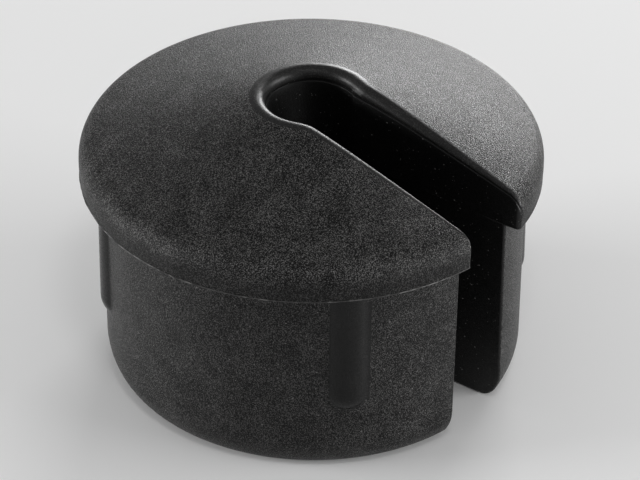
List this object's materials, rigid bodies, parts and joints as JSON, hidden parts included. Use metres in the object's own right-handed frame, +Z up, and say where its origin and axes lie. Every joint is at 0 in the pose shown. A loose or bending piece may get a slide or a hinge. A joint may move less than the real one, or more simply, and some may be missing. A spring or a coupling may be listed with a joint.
{
  "type": "desk grommet",
  "caption": "Round conical cable grommet with a press-in plug and a keyhole slot that runs out through its rim to let a cable in sideways.",
  "frame": {"origin": "centre of the plug's bottom, on the axis of the round hole", "axes": "+Z up along the hole's axis, towards the cap; the slot opens to -Y; X = 0 is the mirror plane"},
  "size_m": [0.038, 0.0377, 0.0252],
  "materials": {
    "moulding_plastic": "black, spark-eroded grain on the cap, finer grain on the plug"
  },
  "bodies": {
    "root": {"grommet_moulding": "moulding_plastic"}
  },
  "joints": []
}
